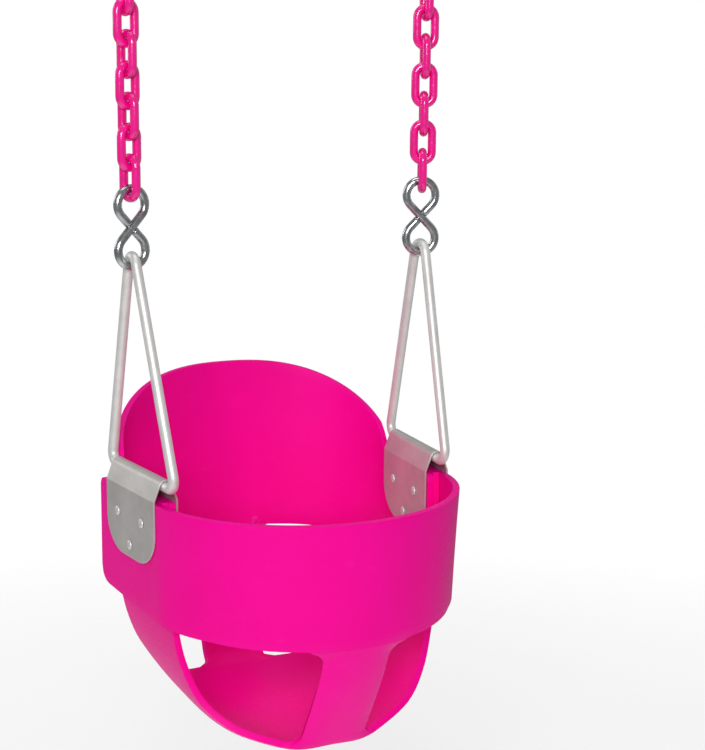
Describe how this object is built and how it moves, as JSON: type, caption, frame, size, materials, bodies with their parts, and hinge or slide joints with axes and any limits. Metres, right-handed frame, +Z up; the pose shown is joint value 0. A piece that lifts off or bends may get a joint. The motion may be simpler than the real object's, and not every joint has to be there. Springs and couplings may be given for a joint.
{
  "type": "toddler bucket swing",
  "caption": "Toddler bucket swing: a moulded plastic bucket seat with leg holes, hung by triangle rods and S-hooks from coated chains that end in snap carabiners.",
  "frame": {"origin": "midway between the two points where the carabiners hang on the beam's fittings", "axes": "+Z up, -Y towards the front of the seat, +X to the right of someone who looks at the seat from its front"},
  "size_m": [0.3107, 0.3022, 0.7085],
  "materials": {
    "pink_plastic": "satin moulded low-density plastic",
    "pink_chain_coating": "glossy soft plastic coating over steel",
    "bright_zinc": "bright zinc plating",
    "grey_rod": "zinc-plated round rod",
    "satin_plate": "satin zinc-plated sheet",
    "spring_steel": "plain spring steel"
  },
  "bodies": {
    "carabiners": {"carabiner_body_left": "bright_zinc", "carabiner_body_right": "bright_zinc", "gate_pin_left": "spring_steel", "gate_pin_right": "spring_steel"},
    "gate_left": {"carabiner_gate_left": "bright_zinc", "gate_spring_left": "spring_steel"},
    "gate_right": {"carabiner_gate_right": "bright_zinc", "gate_spring_right": "spring_steel"},
    "link_pair_1": {"chain_link_left_1": "pink_chain_coating", "chain_link_right_1": "pink_chain_coating"},
    "link_pair_2": {"chain_link_left_2": "pink_chain_coating", "chain_link_right_2": "pink_chain_coating"},
    "link_pair_3": {"chain_link_left_3": "pink_chain_coating", "chain_link_right_3": "pink_chain_coating"},
    "link_pair_4": {"chain_link_left_4": "pink_chain_coating", "chain_link_right_4": "pink_chain_coating"},
    "link_pair_5": {"chain_link_left_5": "pink_chain_coating", "chain_link_right_5": "pink_chain_coating"},
    "link_pair_6": {"chain_link_left_6": "pink_chain_coating", "chain_link_right_6": "pink_chain_coating"},
    "link_pair_7": {"chain_link_left_7": "pink_chain_coating", "chain_link_right_7": "pink_chain_coating"},
    "s_hooks": {"s_hook_left": "bright_zinc", "s_hook_right": "bright_zinc"},
    "seat": {"bucket_seat": "pink_plastic", "triangle_hanger_left": "grey_rod", "triangle_hanger_right": "grey_rod", "hanger_plate_left": "satin_plate", "hanger_plate_right": "satin_plate", "rivet_left_1": "bright_zinc", "rivet_left_2": "bright_zinc", "rivet_left_3": "bright_zinc", "rivet_right_1": "bright_zinc", "rivet_right_2": "bright_zinc", "rivet_right_3": "bright_zinc"}
  },
  "joints": [
    {"name": "gate_left_hinge", "type": "hinge", "parent": "carabiners", "child": "gate_left", "pos_m": [-0.14418, -0.00138, -0.0119], "axis": [0.1392, -0.9903, 0], "range_deg": [0, 24], "stiffness_Nm_per_rad": 0.03, "springref_deg": -17.19},
    {"name": "gate_right_hinge", "type": "hinge", "parent": "carabiners", "child": "gate_right", "pos_m": [0.14413, -0.00165, -0.0119], "axis": [0.1668, 0.986, 0], "range_deg": [0, 24], "stiffness_Nm_per_rad": 0.03, "springref_deg": -17.19},
    {"name": "chain_top_swing", "type": "hinge", "parent": "carabiners", "child": "link_pair_1", "pos_m": [0, 0, -0.0704], "axis": [1, 0, 0], "range_deg": [-40, 40]},
    {"name": "link_2_swing", "type": "hinge", "parent": "link_pair_1", "child": "link_pair_2", "pos_m": [0, 0, -0.0874], "axis": [1, 0, 0], "range_deg": [-4, 4]},
    {"name": "link_3_swing", "type": "hinge", "parent": "link_pair_2", "child": "link_pair_3", "pos_m": [0, 0, -0.1194], "axis": [1, 0, 0], "range_deg": [-4, 4]},
    {"name": "link_4_swing", "type": "hinge", "parent": "link_pair_3", "child": "link_pair_4", "pos_m": [0, 0, -0.136], "axis": [1, 0, 0], "range_deg": [-4, 4]},
    {"name": "link_5_swing", "type": "hinge", "parent": "link_pair_4", "child": "link_pair_5", "pos_m": [0, 0, -0.168], "axis": [1, 0, 0], "range_deg": [-4, 4]},
    {"name": "link_6_swing", "type": "hinge", "parent": "link_pair_5", "child": "link_pair_6", "pos_m": [0, 0, -0.1846], "axis": [1, 0, 0], "range_deg": [-4, 4]},
    {"name": "link_7_swing", "type": "hinge", "parent": "link_pair_6", "child": "link_pair_7", "pos_m": [0, 0, -0.2166], "axis": [1, 0, 0], "range_deg": [-4, 4]},
    {"name": "s_hook_swing", "type": "hinge", "parent": "link_pair_7", "child": "s_hooks", "pos_m": [0, 0, -0.2333], "axis": [1, 0, 0], "range_deg": [-6, 6]},
    {"name": "seat_swing", "type": "hinge", "parent": "s_hooks", "child": "seat", "pos_m": [0, 0, -0.2958], "axis": [1, 0, 0], "range_deg": [-12, 12]}
  ]
}
